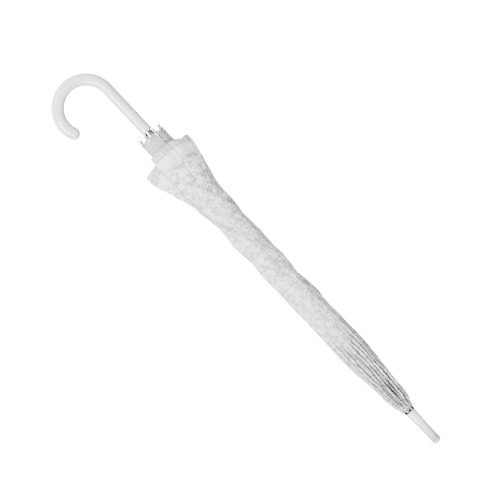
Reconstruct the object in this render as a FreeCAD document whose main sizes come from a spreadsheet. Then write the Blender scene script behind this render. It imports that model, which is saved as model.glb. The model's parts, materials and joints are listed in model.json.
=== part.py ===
import FreeCAD, Part
import math
import os
import Sketcher

# Lace parasol, furled.  Millimetres.  The shaft runs along +Z from the crook handle to the
# ferrule, the crook curls towards +X, and the origin is the middle of the straight grip.

RIB_COUNT = 8

DIMENSIONS = {
    # crook handle
    "grip_top": 38.0,
    "tube_radius": 8.0,
    "grip_round": 1.2,
    "crook_radius": 36.7,
    "crook_centre": -38.4,
    "crook_tail_angle": 20.0,
    "socket_floor": 6.0,
    "plug_stem_radius": 4.0,
    "plug_stem_length": 9.0,
    # shaft
    "shaft_radius": 5.0,
    "shaft_bore": 4.0,
    "shaft_top": 545.0,
    # crown
    "crown_level": 521.0,
    "hinge_circle": 7.0,
    "notch_radius": 8.7,
    "notch_bottom": 517.0,
    "notch_top": 525.0,
    "notch_slot_half": 0.95,
    "wire_radius": 0.55,
    "wire_gap": 0.1,
    "cap_bottom": 525.0,
    "cap_top": 528.0,
    "cap_wide": 10.4,
    "cap_narrow": 8.6,
    "ring_radius": 8.35,
    "ring_round": 0.8,
    "ring_top": 532.0,
    # ferrule
    "ferrule_base": 7.3,
    "ferrule_tip": 6.2,
    "taper_end": 556.0,
    "ferrule_top": 585.6,
    "ferrule_round": 4.5,
    # ribs
    "rib_length": 477.0,
    "rib_radius": 1.5,
    "rib_lean": 10.0,
    "link_half": 0.7,
    "link_width": 2.6,
    "link_length": 11.0,
    "eye_radius": 1.65,
    "eye_hole": 0.75,
    "tip_radius": 2.2,
    "tip_length": 10.0,
    "tip_wall_gap": 0.06,
    # stretchers
    "pivot_drop": 215.0,
    "pivot_circle": 8.3,
    "pivot_pin": 0.6,
    "rivet_head": 0.3,
    "rivet_lip": 0.4,
    "pivot_gap": 0.05,
    "bracket_half": 2.0,
    "bracket_height": 6.0,
    "bracket_lip": 1.7,
    "bracket_slot_height": 8.0,
    "bracket_slot_half": 0.9,
    "stretcher_length": 222.0,
    "stretcher_flat": 9.0,
    "stretcher_radius": 1.1,
    "stretcher_eye": 1.45,
    "heel_circle": 9.8,
    "heel_pin": 0.8,
    "heel_half": 2.0,
    # runner
    "runner_bottom": 52.0,
    "runner_top": 100.0,
    "runner_bore": 5.15,
    "runner_radius": 7.7,
    "flange_bottom": 81.5,
    "flange_top": 92.0,
    "flange_radius": 12.2,
    "groove_inner": 8.4,
    "groove_outer": 11.3,
    "groove_roof": 86.0,
    "keyway_half": 1.4,
    "keyway_reach": 7.2,
    "window_top": 68.0,
    # catch springs
    "catch_half": 1.0,
    "catch_tail": 2.0,
    "nose_flat": 2.5,
    "window_side": 0.4,
    "window_end": 1.6,
    "catch_leaf": 1.2,
    "catch_reach": 6.8,
    "catch_length": 26.0,
    "nose_length": 9.0,
    "bottom_catch_level": 56.0,
    "top_catch_level": 366.0,
    # canopy
    "cloth": 1.2,
    "gore_angle": 43.0,
    "cuff_bottom": 52.6,
    "cuff_top": 70.0,
    "cuff_radius": 19.9,
    "hem_low": 77.0,
    "hem_low_radius": 31.0,
    "hem_level": 85.0,
    "hem_radius": 35.5,
    "hem_high": 95.0,
    "neck_level": 157.0,
    "neck_radius": 19.6,
    "pleat_start": 373.0,
    "pleat_radius": 19.3,
    "pleat_full": 425.0,
    "pleat_full_radius": 20.0,
    "pleat_mid": 450.0,
    "pleat_mid_radius": 17.6,
    "pleat_high": 477.0,
    "pleat_high_radius": 15.4,
    "pleat_end": 505.0,
    "pleat_end_radius": 13.0,
    "canopy_top": 519.5,
    "canopy_top_radius": 10.9,
    # tie strap
    "strap_gap": 0.4,
    "strap_thick": 1.0,
    "strap_half": 4.0,
    "strap_rise": 5.0,
    "snap_radius": 4.5,
    "snap_height": 2.0,
    "stud_radius": 2.25,
    "stud_depth": 0.5,
    "stud_hole_gap": 0.1,
}

doc = FreeCAD.newDocument("lace_parasol")
sheet = doc.addObject("Spreadsheet::Sheet", "Dims")
for row, (alias, number) in enumerate(DIMENSIONS.items(), start=1):
    sheet.set("A" + str(row), alias)
    sheet.set("B" + str(row), str(number))
    sheet.setAlias("B" + str(row), alias)
doc.recompute()

Z_AXIS = FreeCAD.Vector(0, 0, 1)
Y_AXIS = FreeCAD.Vector(0, 1, 0)
X_AXIS = FreeCAD.Vector(1, 0, 0)
nodes = []


def dim(text):
    """Put the sheet's name before every word of a formula that is one of its aliases."""
    words = []
    for word in text.split():
        words.append("Dims." + word if word in DIMENSIONS else word)
    return " ".join(words)


def size(text):
    """The value of a formula in the sheet's words."""
    return float(sheet.evalExpression(dim(text)))


def bound(thing, **formulas):
    """Bind properties to formulas in the sheet's words."""
    for name, text in formulas.items():
        thing.setExpression(name, dim(text))
    return thing


def keep(thing, label):
    """Name a finished sub-part; its label is its file's name."""
    thing.Label = label
    nodes.append(thing)
    return thing


def origin_feature(body, role):
    """A body's own origin plane or axis."""
    return next(item for item in body.Origin.OriginFeatures if item.Role == role)


def new_sketch(body, plane, name):
    sketch = body.newObject("Sketcher::SketchObject", name)
    sketch.AttachmentSupport = [(origin_feature(body, plane), "")]
    sketch.MapMode = "FlatFace"
    return sketch


def outline(sketch, corners):
    """A closed outline of straight edges, each corner held by two formulas."""
    points = [FreeCAD.Vector(size(across), size(up), 0) for across, up in corners]
    count = len(points)
    for index in range(count):
        sketch.addGeometry(Part.LineSegment(points[index], points[(index + 1) % count]), False)
    for index in range(count):
        sketch.addConstraint(Sketcher.Constraint("Coincident", index, 2, (index + 1) % count, 1))
    for index, (across, up) in enumerate(corners):
        for kind, text in (("DistanceX", across), ("DistanceY", up)):
            held = sketch.addConstraint(Sketcher.Constraint(kind, -1, 1, index, 1, size(text)))
            sketch.setExpression("Constraints[" + str(held) + "]", dim(text))


def turned_body(name, corners, angle="360"):
    """A body turned about the shaft's axis from an outline of (radius, height) corners."""
    body = doc.addObject("PartDesign::Body", name)
    sketch = new_sketch(body, "XZ_Plane", name + "_outline")
    outline(sketch, corners)
    turning = body.newObject("PartDesign::Revolution", name + "_turning")
    turning.Profile = sketch
    turning.ReferenceAxis = (sketch, ["V_Axis"])
    turning.Midplane = True
    bound(turning, Angle=angle)
    doc.recompute()
    return body


def add_slots(body, name, reach, far, half, count):
    """Cut radial slots, one between each two ribs' midlines, right through a body along Z."""
    sketch = new_sketch(body, "XY_Plane", name + "_slot_outline")
    outline(sketch, [(reach, "- " + half), (far, "- " + half), (far, half), (reach, half)])
    slot = body.newObject("PartDesign::Pocket", name + "_slot")
    slot.Profile = sketch
    slot.Type = "ThroughAll"
    slot.Midplane = True
    doc.recompute()
    around = body.newObject("PartDesign::PolarPattern", name + "_slots")
    around.Originals = [slot]
    around.Axis = (origin_feature(body, "Z_Axis"), [""])
    around.Angle = 360
    around.Occurrences = count
    body.Tip = around
    doc.recompute()


def edge_names(shape, level, radius):
    """The circular edges of a shape at a height and radius."""
    found = []
    for index, edge in enumerate(shape.Edges, start=1):
        is_circle = isinstance(edge.Curve, Part.Circle)
        if is_circle and abs(edge.Curve.Center.z - level) < 0.01 and abs(edge.Curve.Radius - radius) < 0.01:
            found.append("Edge" + str(index))
    return found


def round_edge(body, name, level, radius, fillet):
    """Round a body's circular edge."""
    base = body.Tip
    rounding = body.newObject("PartDesign::Fillet", name + "_round")
    rounding.Base = (base, edge_names(base.Shape, size(level), size(radius)))
    bound(rounding, Radius=fillet)
    body.Tip = rounding
    doc.recompute()


def cylinder(name, radius, height, base, direction):
    """A Part cylinder from a base point along a direction."""
    rod = doc.addObject("Part::Cylinder", name)
    bound(rod, Radius=radius, Height=height)
    rod.Placement = FreeCAD.Placement(base, FreeCAD.Rotation(Z_AXIS, direction))
    return rod


def cross_cylinder(name, radius, half, centre):
    """A Part cylinder along Y, centred on a point of the XZ plane."""
    base = FreeCAD.Vector(centre.x, -size(half), centre.z)
    return cylinder(name, radius, "2 * ( " + half + " )", base, Y_AXIS)


def box(name, length, width, height, centre, rotation):
    """A Part box centred on a point and turned about it."""
    block = doc.addObject("Part::Box", name)
    bound(block, Length=length, Width=width, Height=height)
    corner = FreeCAD.Vector(size(length) / 2, size(width) / 2, size(height) / 2)
    block.Placement = FreeCAD.Placement(centre - rotation.multVec(corner), rotation)
    return block


def fuse(name, pieces):
    joined = doc.addObject("Part::MultiFuse", name)
    joined.Shapes = pieces
    return joined


def cut(name, base, tool):
    rest = doc.addObject("Part::Cut", name)
    rest.Base = base
    rest.Tool = tool
    return rest


def azimuth(index):
    """Ribs stand at half steps, so that none lies in the crook's plane."""
    return (index - 0.5) * 360.0 / RIB_COUNT


def turn_about_shaft(degrees):
    return FreeCAD.Placement(FreeCAD.Vector(), FreeCAD.Rotation(Z_AXIS, degrees))


# ---------------------------------------------------------------- crook handle and its plug
def make_handle():
    body = doc.addObject("PartDesign::Body", "crook_body")
    path = new_sketch(body, "XZ_Plane", "crook_path")
    centre = FreeCAD.Vector(size("crook_radius"), size("crook_centre"), 0)
    radius = size("crook_radius")
    tail = math.radians(size("crook_tail_angle"))
    path.addGeometry(Part.LineSegment(FreeCAD.Vector(0, size("grip_top"), 0),
                                      FreeCAD.Vector(0, centre.y, 0)), False)
    path.addGeometry(Part.ArcOfCircle(Part.Circle(centre, Z_AXIS, radius), math.pi, 2 * math.pi + tail), False)
    path.addConstraint(Sketcher.Constraint("PointOnObject", 0, 1, -2))
    path.addConstraint(Sketcher.Constraint("Vertical", 0))
    path.addConstraint(Sketcher.Constraint("Tangent", 0, 2, 1, 1))
    for kind, geometry, point, text in (("DistanceY", 0, 1, "grip_top"), ("DistanceY", 0, 2, "crook_centre")):
        held = path.addConstraint(Sketcher.Constraint(kind, -1, 1, geometry, point, size(text)))
        path.setExpression("Constraints[" + str(held) + "]", dim(text))
    held = path.addConstraint(Sketcher.Constraint("Radius", 1, radius))
    path.setExpression("Constraints[" + str(held) + "]", dim("crook_radius"))
    held = path.addConstraint(Sketcher.Constraint("DistanceY", -1, 1, 1, 2, centre.y + radius * math.sin(tail)))
    path.setExpression(
        "Constraints[" + str(held) + "]",
        "Dims.crook_centre + Dims.crook_radius * sin(Dims.crook_tail_angle * 1 deg)")
    section = new_sketch(body, "XY_Plane", "crook_section")
    section.AttachmentOffset = FreeCAD.Placement(FreeCAD.Vector(0, 0, size("grip_top")), FreeCAD.Rotation())
    section.setExpression(".AttachmentOffset.Base.z", dim("grip_top"))
    section.addGeometry(Part.Circle(FreeCAD.Vector(), Z_AXIS, size("tube_radius")), False)
    section.addConstraint(Sketcher.Constraint("Coincident", 0, 3, -1, 1))
    held = section.addConstraint(Sketcher.Constraint("Radius", 0, size("tube_radius")))
    section.setExpression("Constraints[" + str(held) + "]", dim("tube_radius"))
    doc.recompute()
    pipe = body.newObject("PartDesign::AdditivePipe", "crook_pipe")
    pipe.Profile = section
    pipe.Spine = path
    doc.recompute()
    round_edge(body, "crook", "grip_top", "tube_radius", "grip_round")
    socket = cylinder("shaft_socket", "shaft_radius", "grip_top - socket_floor",
                      FreeCAD.Vector(0, 0, size("socket_floor")), Z_AXIS)
    end_point, end_direction = crook_end()
    plug_hole = cylinder("plug_hole", "plug_stem_radius", "plug_stem_length",
                         end_point - end_direction * size("plug_stem_length"), end_direction)
    keep(cut("handle", body, fuse("handle_holes", [socket, plug_hole])), "handle")

    dome = doc.addObject("Part::Sphere", "plug_dome")
    bound(dome, Radius="tube_radius", Angle1="0")
    dome.Placement = FreeCAD.Placement(end_point, FreeCAD.Rotation(Z_AXIS, end_direction))
    stem = cylinder("plug_stem", "plug_stem_radius", "plug_stem_length",
                    end_point - end_direction * size("plug_stem_length"), end_direction)
    keep(fuse("handle_end_plug", [dome, stem]), "handle_end_plug")


def crook_end():
    """Where the crook's tube ends, and the way it points there."""
    tail = math.radians(size("crook_tail_angle"))
    radius = size("crook_radius")
    point = FreeCAD.Vector(radius + radius * math.cos(tail), 0, size("crook_centre") + radius * math.sin(tail))
    return point, FreeCAD.Vector(-math.sin(tail), 0, math.cos(tail))


# ---------------------------------------------------------------- shaft, crown and ferrule
def make_shaft():
    tube = turned_body("shaft_tube", [("shaft_bore", "socket_floor"), ("shaft_radius", "socket_floor"),
                                      ("shaft_radius", "shaft_top"), ("shaft_bore", "shaft_top")])
    upright = FreeCAD.Rotation()
    windows = []
    for name, level in (("bottom", "bottom_catch_level"), ("top", "top_catch_level")):
        middle = FreeCAD.Vector(size("shaft_radius"), 0, size(level + " + nose_length / 2"))
        windows.append(box(name + "_catch_window", "shaft_radius", "2 * catch_half + window_side",
                           "nose_length + window_end", middle, upright))
    keep(cut("shaft", tube, fuse("shaft_windows", windows)), "shaft")


def make_crown():
    notch = turned_body("notch_disc", [("shaft_radius", "notch_bottom"), ("notch_radius", "notch_bottom"),
                                       ("notch_radius", "notch_top"), ("shaft_radius", "notch_top")])
    add_slots(notch, "notch", "shaft_radius + 0.25", "notch_radius + 1", "notch_slot_half", RIB_COUNT)
    channel = ring_of_wire("wire_channel", "wire_radius + wire_gap")
    cut_notch = cut("crown_notch", notch, channel)
    cut_notch.Placement = turn_about_shaft(azimuth(1))
    keep(cut_notch, "crown_notch")
    keep(ring_of_wire("crown_wire", "wire_radius"), "crown_wire")
    cap = turned_body("crown_cap", [("shaft_radius", "cap_bottom"), ("cap_wide", "cap_bottom"),
                                    ("cap_wide - 0.4", "cap_bottom + 1.4"), ("cap_narrow", "cap_top"),
                                    ("shaft_radius", "cap_top")])
    keep(cap, "crown_cap")
    collar = turned_body("crown_ring", [("shaft_radius", "cap_top"), ("ring_radius", "cap_top"),
                                        ("ring_radius", "ring_top"), ("shaft_radius", "ring_top")])
    round_edge(collar, "ring_top", "ring_top", "ring_radius", "ring_round")
    round_edge(collar, "ring_bottom", "cap_top", "ring_radius", "ring_round")
    keep(collar, "crown_ring")


def ring_of_wire(name, radius):
    wire = doc.addObject("Part::Torus", name)
    bound(wire, Radius1="hinge_circle", Radius2=radius)
    wire.Placement = FreeCAD.Placement(FreeCAD.Vector(0, 0, size("crown_level")), FreeCAD.Rotation())
    return wire


def make_ferrule():
    body = turned_body("ferrule", [("0", "shaft_top"), ("shaft_radius", "shaft_top"),
                                   ("shaft_radius", "ring_top"), ("ferrule_base", "ring_top"),
                                   ("ferrule_tip", "taper_end"), ("ferrule_tip", "ferrule_top"),
                                   ("0", "ferrule_top")])
    round_edge(body, "ferrule", "ferrule_top", "ferrule_tip", "ferrule_round")
    keep(body, "ferrule")


# ---------------------------------------------------------------- runner and catch springs
def make_runner():
    body = turned_body("runner_sleeve", [
        ("runner_bore", "runner_bottom"), ("runner_radius", "runner_bottom"),
        ("runner_radius", "flange_bottom"), ("groove_inner", "flange_bottom"),
        ("groove_inner", "groove_roof"), ("groove_outer", "groove_roof"),
        ("groove_outer", "flange_bottom"), ("flange_radius", "flange_bottom"),
        ("flange_radius", "flange_top"), ("runner_radius", "flange_top"),
        ("runner_radius", "runner_top"), ("runner_bore", "runner_top")])
    add_slots(body, "runner", "groove_inner", "flange_radius + 2", "keyway_half", RIB_COUNT)
    body.Placement = turn_about_shaft(azimuth(1))
    upright = FreeCAD.Rotation()
    keyway = box("runner_keyway", "keyway_reach", "2 * keyway_half", "runner_top - runner_bottom + 2",
                 FreeCAD.Vector(size("keyway_reach / 2"), 0, size("( runner_top + runner_bottom ) / 2")), upright)
    window = box("runner_window", "runner_radius + 1", "2 * keyway_half", "window_top - runner_bottom + 1",
                 FreeCAD.Vector(size("( runner_radius + 1 ) / 2"), 0,
                                size("( window_top + runner_bottom - 1 ) / 2")), upright)
    keep(cut("runner", body, fuse("runner_openings", [keyway, window])), "runner")


def make_catch(label, level):
    """A leaf inside the shaft with a nose that stands out through the shaft's window."""
    body = doc.addObject("PartDesign::Body", label)
    sketch = new_sketch(body, "XZ_Plane", label + "_outline")
    outline(sketch, [("catch_leaf", level + " - catch_tail"), ("2 * catch_leaf", level + " - catch_tail"),
                     ("2 * catch_leaf", level), ("catch_reach", level),
                     ("catch_reach", level + " + nose_flat"), ("shaft_radius", level + " + nose_length"),
                     ("2 * catch_leaf", level + " + nose_length"),
                     ("2 * catch_leaf", level + " + catch_length"), ("catch_leaf", level + " + catch_length")])
    pad = body.newObject("PartDesign::Pad", label + "_pad")
    pad.Profile = sketch
    pad.Midplane = True
    bound(pad, Length="2 * catch_half")
    doc.recompute()
    keep(body, label)


# ---------------------------------------------------------------- ribs and stretchers
def rib_point(drop):
    """A point on a rib's centre line, a given way below its hinge along it."""
    lean = math.asin(size("rib_lean / rib_length"))
    return FreeCAD.Vector(size("hinge_circle") + drop * math.sin(lean), 0,
                          size("crown_level") - drop * math.cos(lean))


def stretcher_ends():
    """The stretcher's pivot on the rib and its heel at the runner, both in the rib's plane."""
    pivot = FreeCAD.Vector(size("pivot_circle"), 0, size("crown_level - pivot_drop"))
    across = size("heel_circle - pivot_circle")
    drop = math.sqrt(size("stretcher_length") ** 2 - across ** 2)
    return pivot, FreeCAD.Vector(size("heel_circle"), 0, pivot.z - drop)


def make_rib(index):
    name = "rib_" + str(index)
    hinge = rib_point(0)
    along = (rib_point(1) - hinge).normalize()
    tilt = FreeCAD.Rotation(Z_AXIS, along)
    rod_start = size("link_length")
    rod = cylinder(name + "_rod", "rib_radius", "rib_length - link_length", rib_point(rod_start), along)
    link = box(name + "_link", "link_width", "2 * link_half", "link_length + 2",
               rib_point(rod_start / 2 + 1), tilt)
    eye = cross_cylinder(name + "_eye", "eye_radius", "link_half", hinge)
    pivot, _ = stretcher_ends()
    rod_centre = rib_point(size("pivot_drop"))
    bracket_length = "rib_lean * pivot_drop / rib_length + hinge_circle - pivot_circle + bracket_lip"
    bracket_middle = FreeCAD.Vector(rod_centre.x - size(bracket_length) / 2, 0, pivot.z)
    upright = FreeCAD.Rotation()
    bracket = box(name + "_bracket", bracket_length, "2 * bracket_half", "bracket_height", bracket_middle, upright)
    slot_middle = FreeCAD.Vector(pivot.x - size("stretcher_eye") / 2, 0, pivot.z)
    slot = box(name + "_bracket_slot", "3 * stretcher_eye + 0.6", "2 * bracket_slot_half",
               "bracket_slot_height", slot_middle, upright)
    hinge_hole = cross_cylinder(name + "_hinge_hole", "eye_hole", "link_half + 1", hinge)
    pin_hole = cross_cylinder(name + "_pin_hole", "pivot_pin", "bracket_half + 1", pivot)
    solid = fuse(name + "_solid", [rod, link, eye, bracket])
    rib = cut(name, solid, fuse(name + "_holes", [slot, hinge_hole, pin_hole]))
    rib.Placement = turn_about_shaft(azimuth(index))
    keep(rib, name)


def make_rib_tip(index):
    """A bright metal cap pressed on the rib's lower end, closed by a ball."""
    name = "rib_tip_" + str(index)
    length = size("rib_length")
    along = (rib_point(1) - rib_point(0)).normalize()
    cap_start = rib_point(length - size("tip_length") + 2)
    sleeve = cylinder(name + "_sleeve", "tip_radius", "tip_length", cap_start, along)
    ball = doc.addObject("Part::Sphere", name + "_ball")
    bound(ball, Radius="tip_radius")
    ball.Placement = FreeCAD.Placement(rib_point(length + 2), FreeCAD.Rotation())
    bore = cylinder(name + "_bore", "rib_radius + tip_wall_gap", "tip_length - 2 + tip_wall_gap",
                    cap_start, along)
    tip = cut(name, fuse(name + "_solid", [sleeve, ball]), bore)
    tip.Placement = turn_about_shaft(azimuth(index))
    keep(tip, name)


def make_rib_pin(index):
    """The rivet that joins a stretcher to its rib's bracket."""
    name = "rib_pin_" + str(index)
    pivot, _ = stretcher_ends()
    shank = cross_cylinder(name + "_shank", "pivot_pin", "bracket_half + rivet_head", pivot)
    heads = []
    for side in (-1, 1):
        base = FreeCAD.Vector(pivot.x, side * size("bracket_half"), pivot.z)
        heads.append(cylinder(name + "_head_" + str(side + 1), "pivot_pin + rivet_lip", "rivet_head", base,
                              Y_AXIS * side))
    pin = fuse(name, [shank] + heads)
    pin.Placement = turn_about_shaft(azimuth(index))
    keep(pin, name)


def make_stretcher(index):
    name = "stretcher_" + str(index)
    pivot, heel = stretcher_ends()
    along = (heel - pivot).normalize()
    tilt = FreeCAD.Rotation(Z_AXIS, along)
    flat = size("stretcher_flat")
    eye = cross_cylinder(name + "_eye", "stretcher_eye", "link_half", pivot)
    link = box(name + "_link", "2 * stretcher_radius", "2 * link_half", "stretcher_flat + 1",
               pivot + along * (flat + 1) / 2, tilt)
    rod = cylinder(name + "_rod", "stretcher_radius", "stretcher_length - stretcher_flat", pivot + along * flat, along)
    cross = cross_cylinder(name + "_heel", "heel_pin", "heel_half", heel)
    hole = cross_cylinder(name + "_hole", "pivot_pin + pivot_gap", "link_half + 1", pivot)
    stretcher = cut(name, fuse(name + "_solid", [eye, link, rod, cross]), hole)
    stretcher.Placement = turn_about_shaft(azimuth(index))
    keep(stretcher, name)


# ---------------------------------------------------------------- canopy and tie strap
GORE_OUTLINE = [
    ("cuff_radius", "cuff_bottom"), ("cuff_radius", "cuff_top"), ("hem_low_radius", "hem_low"),
    ("hem_radius", "hem_level"), ("hem_radius", "hem_high"), ("neck_radius", "neck_level"),
    ("pleat_radius", "pleat_start"), ("pleat_full_radius", "pleat_full"),
    ("pleat_mid_radius", "pleat_mid"), ("pleat_high_radius", "pleat_high"),
    ("pleat_end_radius", "pleat_end"), ("canopy_top_radius", "canopy_top")]


def make_gore(index):
    """One gathered gore of the canopy: a thin wall round its share of the furled bundle."""
    inside = [(radius + " - cloth", level) for radius, level in reversed(GORE_OUTLINE)]
    name = "gore_" + str(index)
    gore = turned_body(name, GORE_OUTLINE + inside, "gore_angle")
    gore.Placement = turn_about_shaft(azimuth(index) + 180.0 / RIB_COUNT)
    keep(gore, name)


def make_tie_strap():
    inner = "neck_radius + strap_gap"
    outer = "neck_radius + strap_gap + strap_thick"
    low = "neck_level + strap_rise - strap_half"
    high = "neck_level + strap_rise + strap_half"
    band = turned_body("strap_band", [(inner, low), (outer, low), (outer, high), (inner, high)])
    start = FreeCAD.Vector(size(outer), 0, size("neck_level + strap_rise"))
    foot = start - X_AXIS * size("stud_depth")
    disc = cylinder("tie_snap_disc", "snap_radius", "snap_height", start, X_AXIS)
    stud = cylinder("tie_snap_stud", "stud_radius", "2 * stud_depth", foot, X_AXIS)
    snap = fuse("tie_snap", [disc, stud])
    hole = cylinder("strap_hole", "stud_radius + stud_hole_gap", "strap_thick + 2",
                    start - X_AXIS * size("strap_thick + 1"), X_AXIS)
    hole.Placement = turn_about_shaft(azimuth(1)).multiply(hole.Placement)
    keep(cut("tie_strap", band, hole), "tie_strap")
    snap.Placement = turn_about_shaft(azimuth(1))
    keep(snap, "tie_snap")


make_handle()
make_shaft()
make_crown()
make_ferrule()
make_runner()
make_catch("bottom_catch", "bottom_catch_level")
make_catch("top_catch", "top_catch_level")
for number in range(1, RIB_COUNT + 1):
    make_rib(number)
    make_rib_tip(number)
    make_rib_pin(number)
    make_stretcher(number)
    make_gore(number)
make_tie_strap()
doc.recompute()

for thing in doc.Objects:
    if "Invalid" in thing.State or "Error" in thing.State:
        raise RuntimeError("not built: " + thing.Name)
os.makedirs("parts", exist_ok=True)
for node in nodes:
    if node.Shape.isNull() or not node.Shape.isValid():
        raise RuntimeError("bad shape: " + node.Label)
    node.Shape.exportStep("parts/" + node.Label + ".step")
print(len(nodes), "nodes written")
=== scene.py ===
"""Lace parasol, furled: the looks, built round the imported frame.  Metres, +Z along the shaft."""
import json
import math
from collections import namedtuple

import bpy
import numpy as np
from mathutils import Matrix, Vector


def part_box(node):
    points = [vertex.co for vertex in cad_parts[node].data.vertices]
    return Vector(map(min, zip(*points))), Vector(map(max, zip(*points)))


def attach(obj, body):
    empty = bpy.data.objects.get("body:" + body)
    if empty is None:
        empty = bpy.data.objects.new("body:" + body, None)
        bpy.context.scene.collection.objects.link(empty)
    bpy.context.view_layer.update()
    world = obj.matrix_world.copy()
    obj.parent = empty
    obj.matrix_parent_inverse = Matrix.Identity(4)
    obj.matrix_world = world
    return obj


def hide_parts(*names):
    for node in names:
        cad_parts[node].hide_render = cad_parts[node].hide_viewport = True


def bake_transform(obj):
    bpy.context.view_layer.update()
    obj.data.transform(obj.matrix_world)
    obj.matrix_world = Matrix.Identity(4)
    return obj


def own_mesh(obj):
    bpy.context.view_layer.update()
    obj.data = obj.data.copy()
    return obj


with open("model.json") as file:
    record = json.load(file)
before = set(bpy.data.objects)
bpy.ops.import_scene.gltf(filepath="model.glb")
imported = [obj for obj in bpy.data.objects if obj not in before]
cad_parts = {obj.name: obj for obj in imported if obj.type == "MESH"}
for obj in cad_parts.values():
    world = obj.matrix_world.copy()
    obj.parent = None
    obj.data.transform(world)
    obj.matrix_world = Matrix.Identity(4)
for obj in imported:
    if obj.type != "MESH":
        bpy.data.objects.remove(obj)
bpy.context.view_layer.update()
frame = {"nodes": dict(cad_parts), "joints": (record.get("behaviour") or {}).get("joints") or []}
JOINTS = {joint["name"]: joint for joint in frame["joints"]}
NODES = frame["nodes"]

MM = 0.001
RIBS = 8
RIB_STEP = 2 * math.pi / RIBS
# the hem's ribbon band and where its soft edges end, in millimetres over its lower edge
RIBBON_WIDTH = 9.6
RIBBON_TOP = RIBBON_WIDTH + 0.3
NO_BAND = 99.0


# ------------------------------------------------------------------ mesh helpers
def add_object(name, vertices, faces, material, smooth=True):
    """A mesh object from arrays of corners and faces."""
    mesh = bpy.data.meshes.new(name)
    mesh.from_pydata([tuple(p) for p in vertices], [], [tuple(int(k) for k in f) for f in faces])
    mesh.polygons.foreach_set("use_smooth", [smooth] * len(mesh.polygons))
    mesh.materials.append(material)
    thing = bpy.data.objects.new(name, mesh)
    bpy.context.scene.collection.objects.link(thing)
    return thing


def grid_faces(rows, columns, closed=False):
    """Quads of a rows by columns grid of points; closed joins the last column to the first."""
    faces = []
    last = columns if closed else columns - 1
    for row in range(rows - 1):
        for column in range(last):
            beside = (column + 1) % columns
            faces.append((row * columns + column, row * columns + beside,
                          (row + 1) * columns + beside, (row + 1) * columns + column))
    return faces


def capped_faces(rings, segments):
    """Quads of a closed tube of rings, with a flat face at each end."""
    first, last = range(segments), range((rings - 1) * segments, rings * segments)
    return [tuple(reversed(first))] + grid_faces(rings, segments, closed=True) + [tuple(last)]


def lathe(name, profile, material, segments=72):
    """A solid turned about Z from (radius, height) points, closed on the axis at both ends."""
    profile = [(max(radius, 1e-6), height) for radius, height in profile]
    vertices = []
    for radius, height in profile:
        for step in range(segments):
            turn = 2 * math.pi * step / segments
            vertices.append((radius * math.cos(turn), radius * math.sin(turn), height))
    return add_object(name, vertices, capped_faces(len(profile), segments), material)


def arc_points(centre_radius, centre_height, radius, start, end, count=10):
    """Points of a round corner, angles in degrees from the +radius direction."""
    turns = np.radians(np.linspace(start, end, count))
    return [(centre_radius + radius * math.cos(turn), centre_height + radius * math.sin(turn))
            for turn in turns]


def stand_for(piece, node, body="root"):
    """Put a piece in a CAD node's place, on its body."""
    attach(piece, body)
    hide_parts(node)


def smoothstep(x):
    """0 below 0, 1 above 1 and a smooth rise between."""
    x = np.clip(x, 0, 1)
    return x * x * (3 - 2 * x)


def store(mesh, name, values):
    """A float attribute of the mesh's points."""
    layer = mesh.attributes.new(name, "FLOAT", "POINT")
    layer.data.foreach_set("value", np.asarray(values, np.float32).ravel())


def store_uv(mesh, uv):
    """One UV per point, in metres of cloth."""
    layer = mesh.uv_layers.new(name="cloth")
    corners = np.empty(len(mesh.loops), np.int64)
    mesh.loops.foreach_get("vertex_index", corners)
    layer.data.foreach_set("uv", np.asarray(uv, np.float32)[corners].ravel())


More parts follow.
